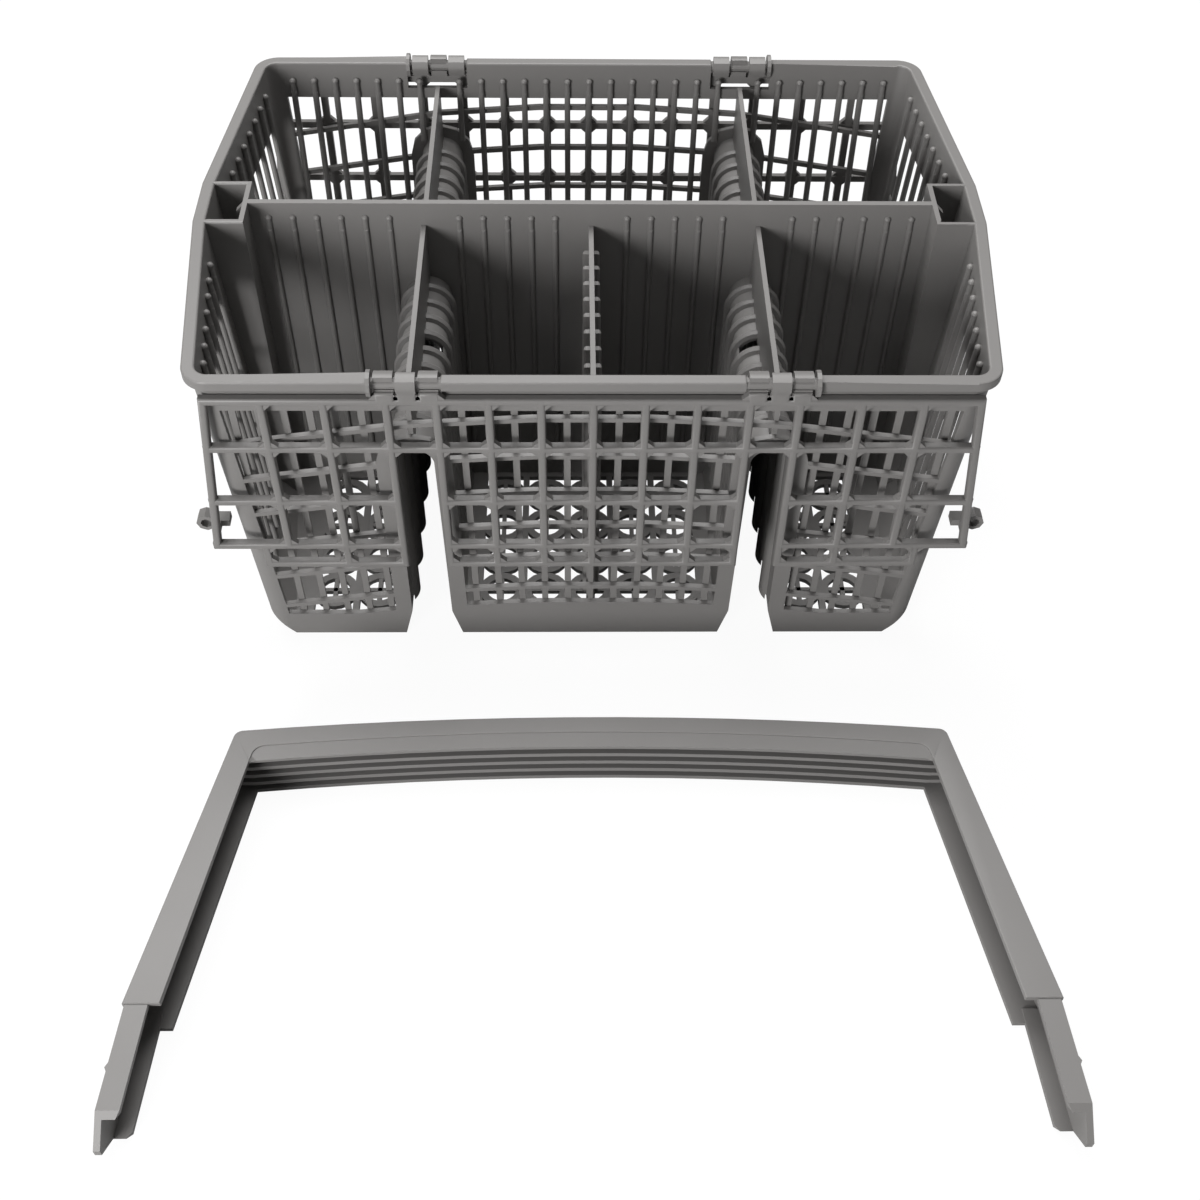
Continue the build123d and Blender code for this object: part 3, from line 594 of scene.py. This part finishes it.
class BASKET_OT_floor_rings(bpy.types.Operator):
    """Lay the rings in the slots of the floor"""

    bl_idname = "basket.floor_rings"
    bl_label = "Floor rings"

    def execute(self, context):
        mould, detail, _, _ = settings()
        bm = bmesh.new()
        pitch = mould.floor_pitch
        outer = [detail.ring_outer + n * pitch for n in range(detail.outer_ring_columns)]
        for x in spread(detail.ring_columns, pitch) + [side * x for x in outer for side in SIDES]:
            for half in SIDES:
                for n in range(detail.ring_rows):
                    self.ring(bm, x, half * (detail.ring_first + n * pitch), mould, detail)
        finished(bm, "floor_rings")
        return {"FINISHED"}

    def ring(self, bm, x, y, mould, detail):
        """One ring, a small square of its band turned once round, and the two bars that cross it."""
        radius = (mould.floor_pitch - detail.ring_band) / 2
        section = Matrix.Diagonal((detail.ring_band / 2, mould.floor * detail.ring_fill / 2, 1, 1))
        place = Matrix.Translation((x + radius, y, mould.floor / 2)) @ TURN_X @ section
        made = bmesh.ops.create_grid(bm, x_segments=1, y_segments=1, size=1.0, matrix=place)["verts"]
        face = made[0].link_faces[0]
        outline = face.edges[:]
        bmesh.ops.delete(bm, geom=[face], context="FACES_ONLY")
        bmesh.ops.spin(
            bm, geom=[*outline, *made], cent=(x, y, 0), axis=(0, 0, 1),
            angle=2 * math.pi, steps=RING_STEPS, use_merge=True,
        )
        middle = Matrix.Translation((x, y, mould.floor / 2))
        for wide, deep in ((mould.floor_pitch, detail.ring_bar), (detail.ring_bar, mould.floor_pitch)):
            size = Matrix.Diagonal((wide, deep, mould.floor * detail.bar_fill, 1))
            bmesh.ops.create_cube(bm, size=1.0, matrix=middle @ size)


class BASKET_OT_flutes(bpy.types.Operator):
    """Set the upright swellings on the inside of the tunnels"""

    bl_idname = "basket.flutes"
    bl_label = "Tunnel flutes"

    def execute(self, context):
        mould, detail, _, _ = settings()
        bm = bmesh.new()
        for side in SIDES:
            for wall in SIDES:
                for y in spread(detail.flute_count, detail.flute_pitch):
                    self.flute(bm, side * mould.tunnel_x, y, wall, mould, detail)
        closed(bm)
        finished(bm, "tunnel_flutes")
        return {"FINISHED"}

    def flute(self, bm, x, y, wall, mould, detail):
        """One upright swelling: the part of a round bar that stands out of the tunnel's wall."""
        spring, _, _ = tunnel_levels(mould)
        low, inside = mould.foot_slope_up / 2, mould.tunnel_foot_half
        radius = detail.flute_radius
        middle = x + wall * (inside - detail.flute_proud + radius)
        place = Matrix.Translation((middle, y, (low + spring) / 2))
        made = bmesh.ops.create_cone(
            bm, cap_ends=True, segments=FLUTE_SIDES, radius1=radius, radius2=radius,
            depth=spring - low, matrix=place,
        )["verts"]
        faces = {face for v in made for face in v.link_faces}
        edges = {edge for v in made for edge in v.link_edges}
        bmesh.ops.bisect_plane(
            bm, geom=[*made, *edges, *faces], plane_co=(x + wall * (inside + detail.flute_root), 0, 0),
            plane_no=(wall, 0, 0), clear_outer=True,
        )


class BASKET_OT_lids(bpy.types.Operator):
    """Round the bars of the two grid lids and fill in the corners of their cells"""

    bl_idname = "basket.lids"
    bl_label = "Grid lids"

    def execute(self, context):
        detail = settings()[1]
        for node in ("front_lid", "back_lid"):
            bm = copied(node)
            joined(bm)
            inner = [edge for edge in bm.edges if self.is_cell_corner(edge, detail)]
            gussets = [(edge.verts[0].co + edge.verts[1].co) / 2 for edge in inner]
            faces = [across((0, side * detail.lid_face, 0), "Y") for side in SIDES]
            bevelled(bm, corners_on(bm, faces), detail.bar_round, EDGE_STEPS)
            for corner in gussets:
                self.gusset(bm, corner, detail)
            piece = finished(bm, f"{node}_grid", node)
            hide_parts(node)
        return {"FINISHED"}

    def is_cell_corner(self, edge, detail):
        """Whether an edge runs through the plate at an inside corner of a cell."""
        step = edge.verts[1].co - edge.verts[0].co
        level = abs(step.y) > STRAIGHT * step.length and step.length > detail.gusset_edge
        inside = abs(edge.verts[0].co.x) < detail.gusset_reach
        return level and inside and is_corner(edge) and not edge.is_convex

    def gusset(self, bm, corner, detail):
        """A small diamond across a corner, a little thinner than the plate."""
        bmesh.ops.create_cone(
            bm, cap_ends=True, segments=4, radius1=detail.cell_round, radius2=detail.cell_round,
            depth=detail.gusset_depth, matrix=Matrix.Translation(corner) @ TURN_X,
        )


class BASKET_OT_handle(bpy.types.Operator):
    """Clear the channels of the handle and round its edges and corners"""

    bl_idname = "basket.handle"
    bl_label = "Handle"

    def execute(self, context):
        detail = settings()[1]
        bm = copied("handle")
        joined(bm)
        self.clear_channels(bm, detail)
        bends = [edge for edge in bm.edges if self.is_bend(edge, detail)]
        bevelled(bm, bends, detail.handle_corner, BEND_STEPS)
        top = [across((0, 0, max(v.co.z for v in bm.verts)), "Z")]
        bevelled(bm, corners_on(bm, top), detail.handle_round, EDGE_STEPS)
        piece = finished(bm, "handle_moulding", crease=28)
        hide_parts("handle")
        return {"FINISHED"}

    def clear_channels(self, bm, detail):
        """Take the short fins out of the legs' channels and close the walls behind them."""
        fins = [
            v for v in bm.verts
            if abs(v.co.x) > detail.fin_start and v.co.y > -detail.fin_stop
            and detail.fin_low < v.co.z < detail.fin_high
        ]
        bmesh.ops.delete(bm, geom=fins, context="VERTS")
        closed(bm)

    def is_bend(self, edge, detail):
        """Whether an edge runs down the outer corner between the grip and a leg."""
        step = edge.verts[1].co - edge.verts[0].co
        upright = abs(step.z) > STRAIGHT * step.length and edge.is_convex and is_corner(edge)
        return upright and edge.verts[0].co.y > -detail.bend_reach


class BASKET_OT_studio(bpy.types.Operator):
    """Build the floor, the lamps and the camera"""

    bl_idname = "basket.studio"
    bl_label = "Studio"

    def execute(self, context):
        _, _, finish, studio = settings()
        scene = context.scene
        scene.view_settings.view_transform = "Standard"
        self.floor(scene, finish, studio)
        self.sky(scene, studio)
        self.softbox(
            scene, "key_softbox", studio.key_place, studio.key_aim, studio.key_size, studio.key_power
        )
        self.softbox(
            scene, "front_fill", studio.fill_place, studio.fill_aim, studio.fill_size, studio.fill_power
        )
        self.camera(scene, studio)
        return {"FINISHED"}

    def floor(self, scene, finish, studio):
        """A wide floor that the camera sees as white, with a trace of the shadows."""
        bm = bmesh.new()
        bmesh.ops.create_grid(bm, x_segments=1, y_segments=1, size=studio.floor_reach)
        mesh = bpy.data.meshes.new("studio_floor")
        bm.to_mesh(mesh)
        bm.free()
        made = bpy.data.materials.new("white_floor")
        shader = Shader(made)
        seen = shader.out(shader.node("ShaderNodeLightPath"), "Is Camera Ray")
        matte = shader.out(shader.node("ShaderNodeBsdfDiffuse", Color=finish.floor))
        glow = shader.out(shader.node("ShaderNodeEmission", Strength=finish.floor_glow))
        mixed = shader.node("ShaderNodeMixShader", _0=seen * finish.floor_white, _1=matte, _2=glow)
        shader.node("ShaderNodeOutputMaterial", Surface=shader.out(mixed))
        mesh.materials.append(made)
        piece = bpy.data.objects.new("studio_floor", mesh)
        scene.collection.objects.link(piece)

    def sky(self, scene, studio):
        """A dim even light that the camera sees as white."""
        world = bpy.data.worlds.new("studio_sky")
        scene.world = world
        shader = Shader(world)
        seen = shader.out(shader.node("ShaderNodeLightPath"), "Is Camera Ray")
        strength = seen + (1.0 - seen) * studio.sky
        light = shader.node("ShaderNodeBackground", Color=(1.0, 1.0, 1.0, 1.0), Strength=strength)
        shader.node("ShaderNodeOutputWorld", Surface=shader.out(light))

    def softbox(self, scene, name, place, aim, size, power):
        """A round area lamp that faces a point."""
        lamp = bpy.data.lights.new(name, "AREA")
        lamp.shape = "DISK"
        lamp.size = size
        lamp.energy = power
        holder = bpy.data.objects.new(name, lamp)
        holder.location = place
        holder.rotation_euler = (Vector(aim) - Vector(place)).to_track_quat("-Z", "Y").to_euler()
        scene.collection.objects.link(holder)

    def camera(self, scene, studio):
        """The camera, set to match the view of the photograph."""
        eye = bpy.data.cameras.new("photo_camera")
        eye.sensor_width = SENSOR
        eye.lens = studio.lens
        eye.clip_start = NEAR
        holder = bpy.data.objects.new("photo_camera", eye)
        turn = (
            Matrix.Rotation(studio.yaw, 4, "Z")
            @ Matrix.Rotation(math.pi / 2 - studio.pitch, 4, "X")
            @ Matrix.Rotation(studio.roll, 4, "Z")
        )
        holder.matrix_world = Matrix.Translation(studio.eye) @ turn
        scene.collection.objects.link(holder)
        scene.camera = holder


OPERATORS = (
    BASKET_OT_shell, BASKET_OT_hoops, BASKET_OT_rib_tops, BASKET_OT_floor_rings, BASKET_OT_flutes,
    BASKET_OT_lids, BASKET_OT_handle, BASKET_OT_studio,
)


class BASKET_PT_sidebar(bpy.types.Panel):
    """Lists the steps that dress the basket"""

    bl_idname = "BASKET_PT_sidebar"
    bl_label = "Cutlery basket"
    bl_space_type = "VIEW_3D"
    bl_region_type = "UI"
    bl_category = "Basket"

    def draw(self, context):
        """Show a button for every step."""
        for operator in OPERATORS:
            self.layout.operator(operator.bl_idname)


GROUPS = {
    "basket_mould": BasketMould,
    "basket_detail": BasketDetail,
    "basket_finish": BasketFinish,
    "basket_studio": BasketStudio,
}


def register():
    """Add the settings, the steps and the sidebar."""
    for name, group in GROUPS.items():
        bpy.utils.register_class(group)
        setattr(bpy.types.Scene, name, PointerProperty(type=group))
    for operator in OPERATORS:
        bpy.utils.register_class(operator)
    bpy.utils.register_class(BASKET_PT_sidebar)


def unregister():
    """Take the sidebar, the steps and the settings away again."""
    bpy.utils.unregister_class(BASKET_PT_sidebar)
    for operator in reversed(OPERATORS):
        bpy.utils.unregister_class(operator)
    for name, group in reversed(GROUPS.items()):
        delattr(bpy.types.Scene, name)
        bpy.utils.unregister_class(group)


def main():
    """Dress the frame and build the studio."""
    register()
    bpy.ops.basket.shell()
    bpy.ops.basket.hoops()
    bpy.ops.basket.rib_tops()
    bpy.ops.basket.floor_rings()
    bpy.ops.basket.flutes()
    bpy.ops.basket.lids()
    bpy.ops.basket.handle()
    bpy.ops.basket.studio()


if __name__ == "__main__":
    main()
